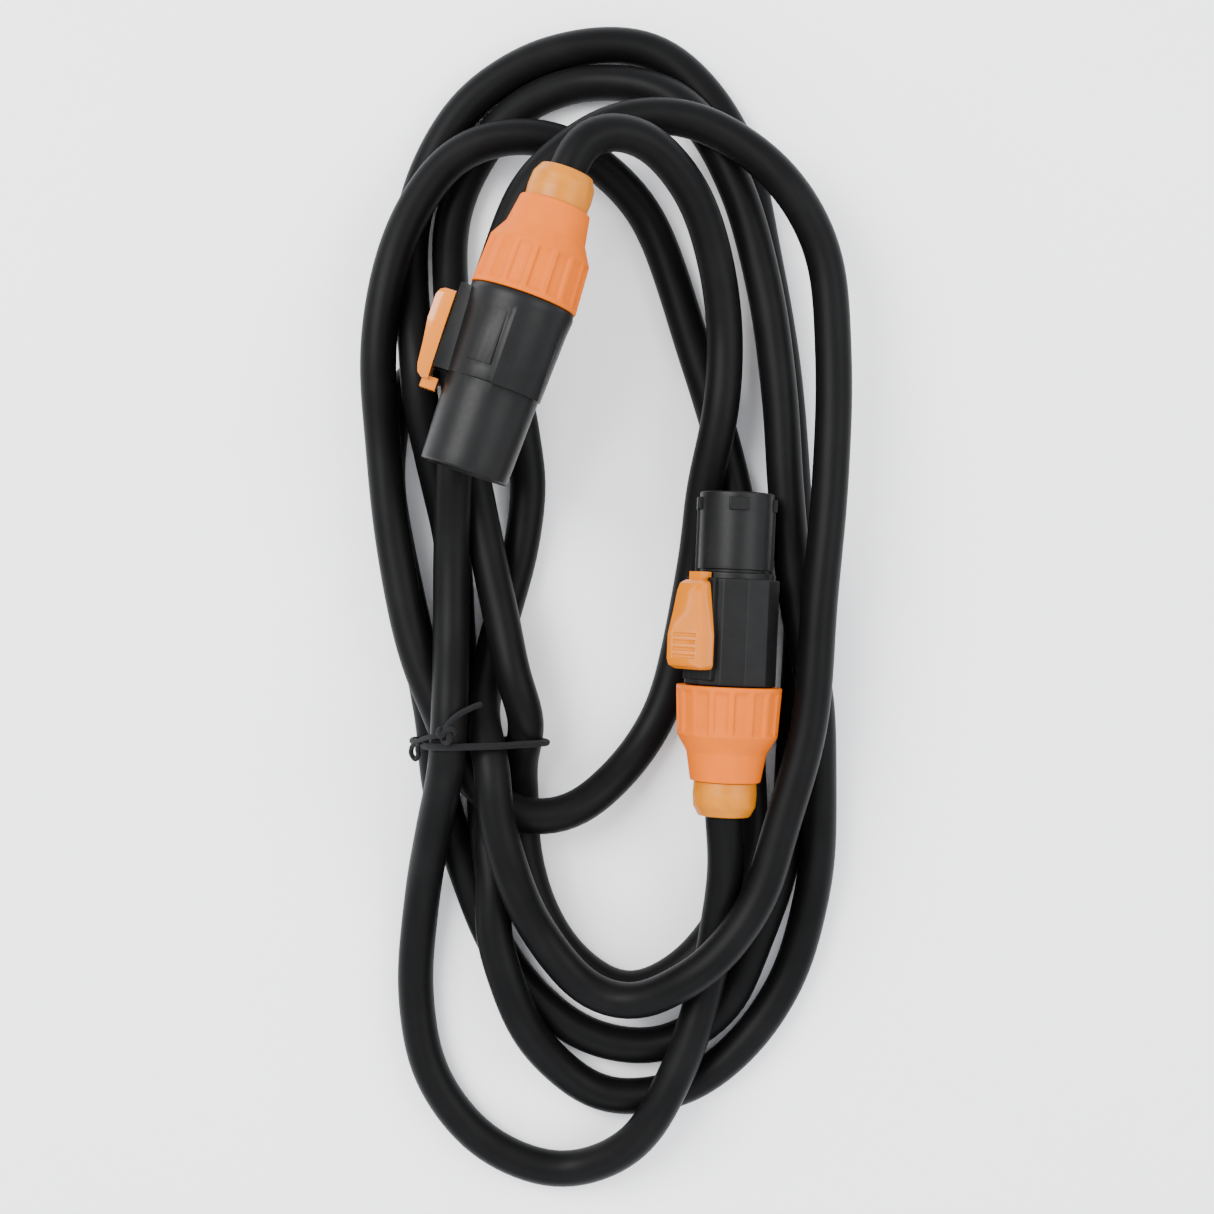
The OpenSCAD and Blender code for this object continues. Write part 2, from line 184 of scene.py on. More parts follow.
def sweep(name, path, radius, sides, closed=False, relief=None):
    """A tube along path, in metres. Each point keeps its place along and round it, for materials."""
    path = np.asarray(path, float)
    count = len(path)
    if closed:
        ahead, behind = np.roll(path, -1, 0), np.roll(path, 1, 0)
    else:
        ahead = np.vstack([path[1:], path[-1:]])
        behind = np.vstack([path[:1], path[:-1]])
    tangent = ahead - behind
    tangent /= np.linalg.norm(tangent, axis=1)[:, None]
    normal = np.cross(tangent[0], (0, 0, 1))
    if np.linalg.norm(normal) < 1e-6:
        normal = np.cross(tangent[0], (0, 1, 0))
    normals = []
    for t in tangent:
        normal = normal - t * (normal @ t)
        normal /= np.linalg.norm(normal)
        normals.append(normal)
    run = np.r_[0, np.cumsum(np.linalg.norm(np.diff(path, axis=0), axis=1))]
    if closed:
        # spread the frame's leftover twist round the loop, so that its ends meet
        first = normals[0]
        last = normals[-1]
        twist = math.atan2(np.dot(np.cross(last, first), tangent[0]), np.dot(last, first))
    else:
        twist = 0
    vertices, coordinates = [], []
    for i in range(count):
        binormal = np.cross(tangent[i], normals[i])
        for k in range(sides):
            angle = 2 * math.pi * k / sides
            turned = angle + twist * i / count
            r = radius + (relief(run[i], angle) if relief else 0)
            offset = math.cos(turned) * normals[i] + math.sin(turned) * binormal
            vertices.append(path[i] + r * offset)
            coordinates.append((run[i], angle, r))
    faces = []
    for i in range(count if closed else count - 1):
        j = (i + 1) % count
        for k in range(sides):
            m = (k + 1) % sides
            faces.append((i * sides + k, i * sides + m, j * sides + m, j * sides + k))
    if not closed:
        faces.append(tuple(range(sides - 1, -1, -1)))
        faces.append(tuple((count - 1) * sides + k for k in range(sides)))
    piece = make_object(name, vertices, faces)
    along = piece.data.attributes.new("along_cord", "FLOAT_VECTOR", "POINT")
    along.data.foreach_set("vector", np.asarray(coordinates, np.float32).ravel())
    fix_normals(piece)
    return piece


def smooth_curve(points, per_span):
    """Centripetal Catmull-Rom curve through the points."""
    points = [np.asarray(p, float) for p in points]
    run = [2 * points[0] - points[1], *points, 2 * points[-1] - points[-2]]
    out = []
    for p0, p1, p2, p3 in zip(run, run[1:], run[2:], run[3:]):
        t0 = 0
        t1 = t0 + math.sqrt(np.linalg.norm(p1 - p0))
        t2 = t1 + math.sqrt(np.linalg.norm(p2 - p1))
        t3 = t2 + math.sqrt(np.linalg.norm(p3 - p2))
        for k in range(per_span):
            t = t1 + (t2 - t1) * k / per_span
            a1 = (t1 - t) / (t1 - t0) * p0 + (t - t0) / (t1 - t0) * p1
            a2 = (t2 - t) / (t2 - t1) * p1 + (t - t1) / (t2 - t1) * p2
            a3 = (t3 - t) / (t3 - t2) * p2 + (t - t2) / (t3 - t2) * p3
            b1 = (t2 - t) / (t2 - t0) * a1 + (t - t0) / (t2 - t0) * a2
            b2 = (t3 - t) / (t3 - t1) * a2 + (t - t1) / (t3 - t1) * a3
            out.append((t2 - t) / (t2 - t1) * b1 + (t - t1) / (t2 - t1) * b2)
    out.append(points[-1])
    return np.array(out)


def resample(path, step):
    """Evenly spaced points along a path."""
    run = np.r_[0, np.cumsum(np.linalg.norm(np.diff(path, axis=0), axis=1))]
    count = round(run[-1] / step)
    at = np.linspace(0, run[-1], count + 1)
    return np.stack([np.interp(at, run, path[:, k]) for k in range(3)], axis=1)


# ---------------------------------------------------------------- the cord

# The same route as the CAD solid's, in mm, from the socket's boot to the plug's boot
ROUTE = [
    # over the top of the hank, down through its middle and round its left side
    (-7, 119, 43), (-1, 123, 41), (10, 122, 37), (22, 111, 29), (29, 94, 21), (32, 74, 16),
    (31, 54, 16), (27, 33, 12), (24, 10, 7), (16, -26, 5), (9, -39, 6), (0, -49, 10),
    (-11, -56, 14), (-25, -56, 15), (-37, -46, 16), (-44, -32, 17), (-52, -12, 16),
    # left side, top and right side of the third turn
    (-58, 16, 15), (-61, 43, 15), (-62, 70, 18), (-58, 94, 18), (-51, 111, 16), (-41, 123, 15),
    (-28, 128, 15), (-13, 127, 14), (0, 120, 9), (11, 108, 5), (25, 69, 5), (32, 46, 5),
    (37, 24, 5), (39, -4, 5), (39, -37, 5), (39, -68, 5), (33, -85, 5), (22, -99, 5),
    (6, -106, 5), (-8, -99, 5), (-18, -85, 5), (-23, -68, 5), (-24, -53, 5), (-24, -43, 9),
    # inner left strand, top and right side of the second turn
    (-22, -31, 17), (-25, -20, 20), (-28, -6, 18), (-33, 17, 15), (-40, 54, 14), (-41, 69, 15),
    (-43, 87, 9), (-43, 106, 5), (-38, 121, 5), (-26, 137, 5), (-9, 145, 5), (12, 143, 9),
    (24, 134, 14), (35, 115, 15), (43, 87, 15), (47, 59, 15), (49, 29, 15), (52, 1, 15),
    (57, -25, 15), (58, -47, 13), (58, -63, 11), (57, -77, 8), (50, -103, 5), (36, -123, 5),
    (19, -134, 5), (-1, -135, 5), (-14, -126, 8), (-22, -115, 13), (-27, -103, 15),
    # middle left strand, outer top and right side of the first turn
    (-31, -88, 15), (-31, -75, 14), (-33, -64, 10), (-34, -51, 5), (-35, -39, 7), (-39, -27, 5),
    (-41, -13, 5), (-43, 16, 5), (-47, 36, 9), (-51, 57, 15), (-52, 70, 15), (-54, 87, 9),
    (-54, 106, 5), (-49, 123, 5), (-38, 140, 5), (-22, 151, 5), (-3, 156, 5), (13, 154, 5),
    (26, 144, 5), (37, 126, 5), (44, 96, 5), (49, 66, 5), (52, 30, 5), (54, -4, 5),
    (52, -37, 5), (50, -63, 5), (46, -78, 5), (41, -93, 5), (32, -111, 5), (16, -121, 5),
    (-2, -120, 5), (-17, -111, 5), (-30, -95, 5), (-40, -71, 5), (-46, -52, 6), (-49, -26, 6),
    # the fold where the doubled cord turns back
    (-54, -4, 5), (-61, 34, 5), (-60, 49, 5), (-58, 58, 5), (-51, 65, 5), (-42, 67, 5),
    (-33, 65, 5), (-26, 58, 5), (-24, 49, 5), (-22, 35, 5), (-24, 16, 5), (-29, -3, 6),
    # up through the tie and round the inner bottom and the right side
    (-33, -20, 12), (-34, -31, 18), (-31, -42, 25), (-30, -54, 26), (-25, -73, 24),
    (-18, -89, 17), (-5, -104, 15), (7, -107, 17), (20, -101, 23), (29, -94, 25),
    (40, -79, 25), (47, -58, 25), (54, -32, 25), (57, 2, 25), (60, 34, 24), (61, 67, 22),
    # round the top under the socket's cord, and down the left over the tie
    (58, 95, 23), (49, 112, 25), (36, 124, 25), (20, 131, 25), (3, 130, 25), (-10, 123, 25),
    (-21, 112, 25), (-28, 96, 25), (-34, 77, 25), (-39, 55, 25), (-41, 37, 24),
    (-42, 13, 20), (-42, -9, 22), (-42, -25, 27), (-43, -42, 27), (-47, -60, 18),
    # outer bottom, then up to the plug
    (-51, -80, 8), (-53, -108, 5), (-48, -131, 5), (-33, -149, 5), (-12, -156, 5),
    (6, -148, 11), (16, -133, 15), (23, -117, 15), (28, -99, 14), (31, -82, 17), (32, -68, 22),
]
STEP = 2.5 * MM              # spacing of the cord's rings
CLEAR = 2 * CORD_R * MM * 1.004   # strands are pushed a little over a diameter apart
SAME_STRAND = 22 * MM        # points nearer along the cord than this never push each other
PUSH_GAP = 0.3               # mm between a strand and a connector
OWN_CORD = 4 * MM            # a point this near a connector's axis is its own cord
EASE_SHARES = (0.5, -0.52)   # one pass smooths, the next undoes most of the shrinking
PUSH_SHARE = 0.6
PUSH_ONLY_ROUNDS = 12        # the last rounds push strands apart without easing them

# From, to and radius of each length of a connector that the cord has to clear, in mm
SPANS = {
    "socket": [(-47.2, -24, 12.5), (-24, -1, 14.3), (-1, 14, NUT_R), (14, 25.5, 10.8)],
    "plug": [(-51.7, -29, 10.8), (-29, -1, 12.7), (-1, 14, NUT_R), (14, 25.5, 10.8)],
}


def on_axis(end, stations):
    return [np.array(PLACE[end] @ Vector((0, 0, z * MM))) for z in stations]


def connector_push(points):
    """How far each point has to move to clear the connectors' bodies."""
    move = np.zeros_like(points)
    for end, parts in SPANS.items():
        to_local = np.array(PLACE[end].inverted())
        local = points @ to_local[:3, :3].T + to_local[:3, 3]
        off = np.linalg.norm(local[:, :2], axis=1)
        for z0, z1, r in parts:
            near = (local[:, 2] > z0 * MM) & (local[:, 2] < z1 * MM)
            short = (r + CORD_R + PUSH_GAP) * MM - off
            pushed = near & (short > 0) & (off > OWN_CORD)
            direction = local[pushed, :2] / off[pushed, None]
            sideways = np.concatenate([direction, np.zeros((len(direction), 1))], axis=1)
            move[pushed] += (sideways * short[pushed, None]) @ to_local[:3, :3]
    return move


def settle(path, rounds):
    """Eases out kinks and pushes crossing strands a full diameter apart, above the surface."""
    count = len(path)
    fixed = math.ceil((GLAND_END - JACKET_CUT + 3) * MM / STEP)
    free = np.ones(count, bool)
    free[:fixed] = free[-fixed:] = False
    index = np.arange(count)
    apart = np.abs(index[:, None] - index[None, :]) > SAME_STRAND / STEP
    for step in range(rounds):
        if step < rounds - PUSH_ONLY_ROUNDS:
            for share in EASE_SHARES:
                middle = (np.roll(path, 1, 0) + np.roll(path, -1, 0)) / 2 - path
                middle[~free] = 0
                path = path + share * middle
        gap = path[:, None, :] - path[None, :, :]
        distance = np.linalg.norm(gap, axis=2) + 1e-9
        close = apart & (distance < CLEAR)
        push = np.where(close, (CLEAR - distance) / distance, 0)
        weight = np.maximum(close.sum(1), 1)
        move = (gap * push[:, :, None]).sum(1) / weight[:, None] * PUSH_SHARE
        move += connector_push(path)
        move[~free] = 0
        path = path + move
        path[:, 2] = np.maximum(path[:, 2], CORD_R * MM)
    return path


STATIONS = (JACKET_CUT, (JACKET_CUT + GLAND_END) / 2, GLAND_END)
knots = (on_axis("socket", STATIONS)
         + [np.array(p) * MM for p in ROUTE]
         + on_axis("plug", STATIONS[::-1]))
centreline = settle(resample(smooth_curve(knots, 12), STEP), 60)
centreline = resample(smooth_curve(centreline, 2), STEP)

LAY_LENGTH = 0.11            # m; one turn of the three cores under the jacket
LAY_HEIGHT = 0.00005         # m
CORD_SIDES = 28


def core_relief(run, angle):
    """The three cores just show through the jacket as a long, very shallow twist."""
    return LAY_HEIGHT * math.cos(3 * angle - 2 * math.pi * run / LAY_LENGTH)


cord = sweep("cord", centreline, CORD_R * MM - LAY_HEIGHT, CORD_SIDES, relief=core_relief)
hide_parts("cord_jacket")
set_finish(cord, "cord_rubber")
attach(cord, "lead")

# ---------------------------------------------------------------- the tie

TIE_Y = -0.037
TIE_WINDOW = (-0.055, -0.012)    # the strands under the tie lie between these x, in m
BAND_R = 0.95 * MM
KNOT_R = 0.8 * MM                # radius of the elastic in the knot
KNOT_SIZE = 0.78 * MM
KNOT_GAP = 0.3                   # radians of the trefoil left out at each of its ends
TIE_SIDES = 12


def outer_hull(points):
    """Convex hull of 2D points, as a closed ring."""
    points = sorted(set(map(tuple, points)))

    def half(run):
        kept = []
        for p in run:
            while len(kept) > 1:
                (ax, ay), (bx, by) = kept[-2], kept[-1]
                if (bx - ax) * (p[1] - ay) - (by - ay) * (p[0] - ax) > 0:
                    break
                kept.pop()
            kept.append(p)
        return kept[:-1]
    return half(points) + half(points[::-1])


def band_path():
    """A loop pulled tight round every strand that passes through the tie."""
    near = centreline[(np.abs(centreline[:, 1] - TIE_Y) < 3 * MM)
                      & (centreline[:, 0] > TIE_WINDOW[0]) & (centreline[:, 0] < TIE_WINDOW[1])]
    reach = CORD_R * MM + BAND_R * 1.02
    cloud = [(round(x + reach * math.cos(a), 6), round(max(z + reach * math.sin(a), BAND_R), 6))
             for x, _, z in near
             for a in np.linspace(0, 2 * math.pi, 48, endpoint=False)]
    ring = np.array(outer_hull(cloud))
    ring = np.stack([ring[:, 0], np.full(len(ring), TIE_Y), ring[:, 1]], axis=1)
    ring = resample(np.vstack([ring, ring[:1]]), 0.6 * MM)[:-1]
    return ring


band = band_path()
tie_band = sweep("elastic_band", band, BAND_R, TIE_SIDES, closed=True)
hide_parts("tie_band")
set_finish(tie_band, "tie_elastic")
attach(tie_band, "lead")

top_of_band = band[np.argmin(np.linalg.norm(band - np.array([-0.0425, TIE_Y, 0.034]), axis=1))]


def knot_path():
    """A small overhand knot pulled tight, drawn as an open trefoil."""
    centre = top_of_band + np.array([0.2, 3.4, 1.1]) * MM
    turns = np.linspace(KNOT_GAP, 2 * math.pi - KNOT_GAP, 80)
    return np.array([
        centre + KNOT_SIZE * np.array([
            math.sin(t) + 1.8 * math.sin(2 * t),
            math.cos(t) - 1.8 * math.cos(2 * t),
            -1.1 * math.sin(3 * t)])
        for t in turns])


def strand(start, *places):
    """A smooth path from start through places given in mm from the top of the band."""
    return smooth_curve([start, *(top_of_band + np.array(place) * MM for place in places)], 10)


knot = knot_path()
tail_path = strand(knot[-1], (1.2, 6.6, 1.4), (3.4, 8.6, 0.6), (6.4, 10.2, -1.6), (9, 11.2, -4))
loop_path = strand(
    knot[0], (-2.4, 3, 0.7), (-5.4, 2.3, -2.4), (-8.3, 0.9, -7.4), (-10, -0.8, -10.8),
    (-10.2, -2.7, -12), (-9.2, -4, -11.8), (-8.2, -2.8, -10.4), (-8.3, -0.9, -8.8), (-7.6, 1, -6.4))
tie_knot = sweep("elastic_knot", knot, KNOT_R, TIE_SIDES)
tail = sweep("elastic_tail", tail_path, KNOT_R, TIE_SIDES)
loop_end = sweep("elastic_loop_end", loop_path, KNOT_R * 0.85, TIE_SIDES)
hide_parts("tie_knot")
for piece in (tie_knot, tail, loop_end):
    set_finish(piece, "tie_elastic")
    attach(piece, "lead")

# ---------------------------------------------------------------- connector pieces

FLUTES = 16
FLUTE_START = 1.2
FLUTE_DEPTH = 0.75
FLUTE_SHARE = 0.78           # how much of each sixteenth the flute takes


def nut_relief(r, z, angle):
    """Broad flutes that fade out at both ends of the nut's wide part."""
    if r < NUT_R - 2.2 or z < FLUTE_START or z > FLUTE_END:
        return 0
    phase = (angle * FLUTES / (2 * math.pi)) % 1
    across = abs(phase - 0.5) * 2
    groove = min(1, max(0, (FLUTE_SHARE - across) / 0.2))
    groove = groove * groove * (3 - 2 * groove)
    start = min(1, (z - FLUTE_START) / 0.7)
    end = min(1, (FLUTE_END - z) / 1.6)
    return -FLUTE_DEPTH * groove * start * end


def make_nut(end):
    """The fluted nut, with its bore for the tail and the lip that carries the boot."""
    outline = fillet([
        (TAIL_R + 0.05, 0, 0.15), (NUT_R - 0.1, 0, 0.5), (NUT_R - 0.8, FLUTE_END, 1.2),
        (10.75, FLARE_END, 1.5), (9.45, NUT_END, 0.5), (NECK_R + 0.1, NUT_END, 0.2),
        (NECK_R + 0.1, 16.4, 0), (9.6, 16.4, 0), (TAIL_R + 0.05, 12.8, 0)])
    piece = revolve(end + "_nut", refine(outline, 0.55), 384, nut_relief)
    put(piece, PLACE[end])
    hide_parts(end + "_locking_nut")
    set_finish(piece, "nut_orange")
    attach(piece, end + "_nut_body")
    return piece


def make_boot(end):
    """The boot: a flange inside the nut, a neck through it and a body that narrows to the cord."""
    bore = CORD_R + 0.35
    outline = fillet([
        (bore, 14.8, 0), (9, 14.8, 0.2), (9, 16.2, 0.2), (NECK_R, 16.2, 0),
        (NECK_R, NUT_END + 0.1, 0.1), (BOOT_R - 0.2, NUT_END + 0.1, 0.5), (BOOT_R, 29, 1.5),
        (BOOT_R - 0.25, 32.2, 1.5), (BOOT_R - 1.6, GLAND_END, 1.4), (CORD_R + 1.2, GLAND_END, 0.5),
        (CORD_R + 0.7, 32, 1.5), (bore, 28, 1.5)], 8)
    piece = revolve(end + "_rubber_boot", refine(outline, 0.8), 128)
    put(piece, PLACE[end])
    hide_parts(end + "_boot")
    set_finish(piece, "boot_rubber")
    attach(piece, end + "_boot_body")
    return piece


SPRING_REAR, SPRING_FRONT = -5.3, -13.9
SPRING_GAP = 0.3             # between the wire's centre and the faces that it rests on
SPRING_TURNS = 6
SPRING_R = 0.95
WIRE_R = 0.2
PLUG_LATCH_ANGLE = -42       # degrees round the axis
# Angle of each spring round the connector's axis, and its distance from that axis in mm
SPRING_PLACE = {"socket": (180, 16.3 - 1.5), "plug": (PLUG_LATCH_ANGLE, 12.9 - 1.3)}


def make_spring(end):
    """The coil behind a latch's foot, drawn at rest."""
    angle, radial = SPRING_PLACE[end]
    middle = Matrix.Rotation(math.radians(angle), 4, "Z") @ Vector((radial * MM, 0, 0))
    run = SPRING_REAR - SPRING_FRONT - 2 * SPRING_GAP
    path = [Vector((SPRING_R * MM * math.cos(2 * math.pi * SPRING_TURNS * t),
                    SPRING_R * MM * math.sin(2 * math.pi * SPRING_TURNS * t),
                    (SPRING_FRONT + SPRING_GAP + run * t) * MM)) + middle
            for t in np.linspace(0, 1, SPRING_TURNS * 20 + 1)]
    piece = sweep(end + "_spring_coil", [PLACE[end] @ p for p in path], WIRE_R * MM, 8)
    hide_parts(end + "_latch_spring")
    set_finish(piece, "spring_steel")
    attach(piece, "lead")
    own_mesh(piece)
    return piece


GRIP_R = 12.07               # from the axis to the middle of a flat side
GRIP_FRONT, GRIP_REAR = -28.7, -0.3
GRIP_INNER_R = 11.7          # only what lies outside this radius has flat sides
CHANNEL_FLOOR = 10.3
CHANNEL_REAR = -5
CHANNEL_HALF_ANGLE = 14.5    # degrees to each side of the latch
RAIL_TOP = 12.6
RAIL_REAR = -1.6
NOSE_TIP, NOSE_R = -51.7, 10
NOSE_BORE_R = 8.4
TAIL_BORE_R = 9.2
SHOULDER = -26               # where the nose's bore meets the tail's wider one
EDGE_FACE = 8e-7             # m2; smaller faces belong to rounded edges and are shaded smooth


def grip_relief(r, z, angle):
    """Twelve flat sides on the plug's grip, and the channel that its latch slides in."""
    turn = math.degrees(angle)
    beside = (turn - PLUG_LATCH_ANGLE + 180) % 360 - 180
    if r > CHANNEL_FLOOR and -35 < z < CHANNEL_REAR and abs(beside) < CHANNEL_HALF_ANGLE:
        return CHANNEL_FLOOR / math.cos(math.radians(beside)) - r
    if r < GRIP_INNER_R or not GRIP_FRONT - 0.1 < z < GRIP_REAR + 0.1:
        return 0
    return GRIP_R / math.cos(math.radians((turn + 15) % 30 - 15)) - GRIP_R


def rounded_box(sheet, low, high, turn, width):
    """Adds a box with rounded edges, in mm, turned about local z."""
    corners = bmesh.ops.create_cube(sheet, size=1)["verts"]
    bmesh.ops.scale(sheet, vec=[(b - a) * MM for a, b in zip(low, high)], verts=corners)
    bmesh.ops.translate(sheet, vec=[(b + a) / 2 * MM for a, b in zip(low, high)], verts=corners)
    bmesh.ops.rotate(sheet, cent=(0, 0, 0), matrix=Matrix.Rotation(math.radians(turn), 3, "Z"),
                     verts=corners)
    edges = list({edge for corner in corners for edge in corner.link_edges})
    bmesh.ops.bevel(sheet, geom=edges, offset=width * MM, segments=3, profile=0.5, affect="EDGES")


def make_plug_housing():
    """The turned shell, and the lugs and rails that stand on it as one more piece."""
    outline = fillet([
        (NOSE_BORE_R, NOSE_TIP, 0.25), (NOSE_R, NOSE_TIP, 0.5), (NOSE_R, -31.1, 0.2),
        (9.5, -31, 0.1), (9.5, -30.4, 0.1), (10.6, -30.2, 0.3), (10.6, GRIP_FRONT, 0.1),
        (GRIP_R, GRIP_FRONT, 0.5), (GRIP_R, GRIP_REAR, 0.4), (TAIL_R, GRIP_REAR, 0),
        (TAIL_R, TAIL_END, 0.6), (TAIL_BORE_R, TAIL_END, 0.2), (TAIL_BORE_R, SHOULDER, 0),
        (NOSE_BORE_R, SHOULDER, 0)])
    shell = revolve("plug_shell", refine(outline, 0.8), 360, grip_relief)
    sheet = bmesh.new()
    # rails and rear stop of the latch's channel
    for side in (-1, 1):
        low, high = sorted((side * 2.7, side * 5.2))
        rounded_box(sheet, (10.5, low, GRIP_FRONT), (RAIL_TOP, high, RAIL_REAR),
                    PLUG_LATCH_ANGLE, 0.3)
    rounded_box(sheet, (10.5, -3, CHANNEL_REAR), (RAIL_TOP, 3, RAIL_REAR), PLUG_LATCH_ANGLE, 0.25)
    # bayonet lugs, with a guide rib behind each of the two at the sides
    for turn in (0, -90, 180):
        rounded_box(sheet, (9.4, -2.7, -50.2), (10.7, 2.7, -46.8), turn, 0.25)
    for turn in (0, 180):
        rounded_box(sheet, (9.4, -0.7, -47), (10.5, 0.7, -29.7), turn, 0.25)
    fittings = make_object("plug_lugs_and_rails", [], [])
    sheet.to_mesh(fittings.data)
    sheet.free()
    for polygon in fittings.data.polygons:
        polygon.use_smooth = polygon.area < EDGE_FACE
    for piece in (shell, fittings):
        put(piece, PLACE["plug"])
        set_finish(piece, "connector_black")
        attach(piece, "lead")
    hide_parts("plug_housing")
    return shell, fittings


WELD_DISTANCE = 0.00001      # m


def soften(node, width, angle=32):
    """Rounds a CAD node's sharp edges as a mould would, without moving the node."""
    piece = frame["nodes"][node]
    weld = piece.modifiers.new("weld", "WELD")
    weld.merge_threshold = WELD_DISTANCE
    bevel = piece.modifiers.new("rounded_edges", "BEVEL")
    bevel.width = width * MM
    bevel.segments = 3
    bevel.limit_method = "ANGLE"
    bevel.angle_limit = math.radians(angle)
    bevel.harden_normals = True
    bevel.use_clamp_overlap = True
    for polygon in piece.data.polygons:
        polygon.use_smooth = True


nuts = {end: make_nut(end) for end in ENDS}
boots = {end: make_boot(end) for end in ENDS}
springs = {end: make_spring(end) for end in ENDS}
plug_housing, plug_fittings = make_plug_housing()
soften("socket_housing", 0.22)
for end in ENDS:
    soften(end + "_latch", 0.35, 24)

# ---------------------------------------------------------------- materials


class Shader:
    """A material with a Principled shader and short names for the nodes that feed it."""

    def __init__(self, name):
        self.material = bpy.data.materials.new(name)
        self.material.use_nodes = True
        self.tree = self.material.node_tree
        self.shader = self.tree.nodes["Principled BSDF"]

    def node(self, kind, **values):
        made = self.tree.nodes.new(kind)
        for key, value in values.items():
            setattr(made, key, value)
        return made

    def link(self, start, end):
        self.tree.links.new(start, end)

    def place(self, scale=(1, 1, 1), attribute=None):
        """Object coordinates, or a stored attribute, stretched by scale."""
        if attribute:
            source = self.node("ShaderNodeAttribute", attribute_name=attribute).outputs["Vector"]
        else:
            source = self.node("ShaderNodeTexCoord").outputs["Object"]
        mapping = self.node("ShaderNodeMapping")
        mapping.inputs["Scale"].default_value = scale
        self.link(source, mapping.inputs["Vector"])
        return mapping.outputs["Vector"]

    def noise(self, vector, scale, detail=4.0, roughness=0.55):
        made = self.node("ShaderNodeTexNoise")
        made.inputs["Scale"].default_value = scale
        made.inputs["Detail"].default_value = detail
        made.inputs["Roughness"].default_value = roughness
        self.link(vector, made.inputs["Vector"])
        return made.outputs["Fac"]

    def ramp(self, value, *stops):
        made = self.node("ShaderNodeValToRGB")
        while len(made.color_ramp.elements) < len(stops):
            made.color_ramp.elements.new(0.5)
        for element, (at, colour) in zip(made.color_ramp.elements, stops):
            element.position = at
            element.color = (*colour, 1)
        self.link(value, made.inputs["Fac"])
        return made.outputs["Color"]

    def spread(self, value, low, high):
        made = self.node("ShaderNodeMapRange")
        made.inputs["To Min"].default_value = low
        made.inputs["To Max"].default_value = high
        self.link(value, made.inputs["Value"])
        return made.outputs["Result"]

    def bump(self, height, strength, distance, under=None):
        made = self.node("ShaderNodeBump")
        made.inputs["Strength"].default_value = strength
        made.inputs["Distance"].default_value = distance
        self.link(height, made.inputs["Height"])
        if under is not None:
            self.link(under, made.inputs["Normal"])
        return made.outputs["Normal"]

    def fixed(self, **values):
        for key, value in values.items():
            self.shader.inputs[key.replace("_", " ")].default_value = value

    def drive(self, **sources):
        for key, source in sources.items():
            self.link(source, self.shader.inputs[key.replace("_", " ")])


def tones(colour, down, up):
    """A darker, the given and a lighter tone of one colour."""
    return [tuple(min(1, c * f) for c in colour) for f in (down, 1, up)]


def moulded(name, colour, rough, grain=0.4, vary=0.12, coat=0.0, soft=0.0, shine=0.5):
    """Injection-moulded plastic: fine spark-eroded grain, soft mottling and handling marks."""
    made = Shader(name)
    here = made.place()
    mottle = made.noise(here, 160, 5)
    fine = made.noise(here, 5200, 2)
    marks = made.noise(made.place((1, 1, 0.25)), 900, 6, 0.7)
    low, middle, high = tones(colour, 1 - vary, 1 + vary)
    made.drive(Base_Color=made.ramp(mottle, (0.3, low), (0.5, middle), (0.72, high)))
    made.drive(Roughness=made.spread(marks, rough - 0.09, rough + 0.11))
    grainy = made.bump(fine, grain, 0.00003)
    made.drive(Normal=made.bump(mottle, 0.05, 0.0002, grainy))
    made.fixed(Specular_IOR_Level=shine, Coat_Weight=coat, Coat_Roughness=0.1,
               Subsurface_Weight=soft,
               Subsurface_Radius=(0.002, 0.0008, 0.0004), Subsurface_Scale=0.4)
    return made.material


def rubber_jacket():
    """Extruded rubber: matt black with long drawn streaks, a faint bloom and fine pitting."""
    made = Shader("cord_rubber")
    drawn = made.place((9, 26, 1), "along_cord")
    here = made.place()
    streaks = made.noise(drawn, 3, 6, 0.6)
    bloom = made.noise(here, 45, 4)
    pits = made.noise(here, 3800, 3)
    base = made.ramp(bloom, (0.3, (0.0024, 0.0024, 0.0025)), (0.55, (0.0035, 0.0035, 0.0036)),
                     (0.8, (0.0056, 0.0056, 0.0057)))
    made.drive(Base_Color=base, Roughness=made.spread(streaks, 0.34, 0.52))
    fine = made.bump(pits, 0.25, 0.00003)
    made.drive(Normal=made.bump(streaks, 0.16, 0.00012, fine))
    made.fixed(Specular_IOR_Level=0.06)
    return made.material


def braid():
    """Braided elastic: crossing diagonal ribs round the band, with painted shade in the grooves between them."""
    made = Shader("tie_elastic")
    ribs_and_groove_shade = made.node("ShaderNodeMath", operation="MAXIMUM")
    for k, lean in enumerate((1.9, -1.9)):
        ribs = made.node("ShaderNodeTexWave", bands_direction="DIAGONAL")
        ribs.inputs["Scale"].default_value = 0.9
        made.link(made.place((2400, lean, 0), "along_cord"), ribs.inputs["Vector"])
        made.link(ribs.outputs["Fac"], ribs_and_groove_shade.inputs[k])
    fibres = made.noise(made.place(), 9000, 3)
    # painted shade: the base colour is darker in the grooves between the ribs and lighter on their tops
    made.drive(Base_Color=made.ramp(ribs_and_groove_shade.outputs[0], (0.1, (0.002, 0.002, 0.002)),
                                    (0.9, (0.012, 0.012, 0.0125))))
    under = made.bump(fibres, 0.4, 0.00005)
    made.drive(Normal=made.bump(ribs_and_groove_shade.outputs[0], 0.7, 0.0002, under))
    made.fixed(Roughness=0.8, Specular_IOR_Level=0.12, Sheen_Weight=0.02, Sheen_Roughness=0.4)
    return made.material


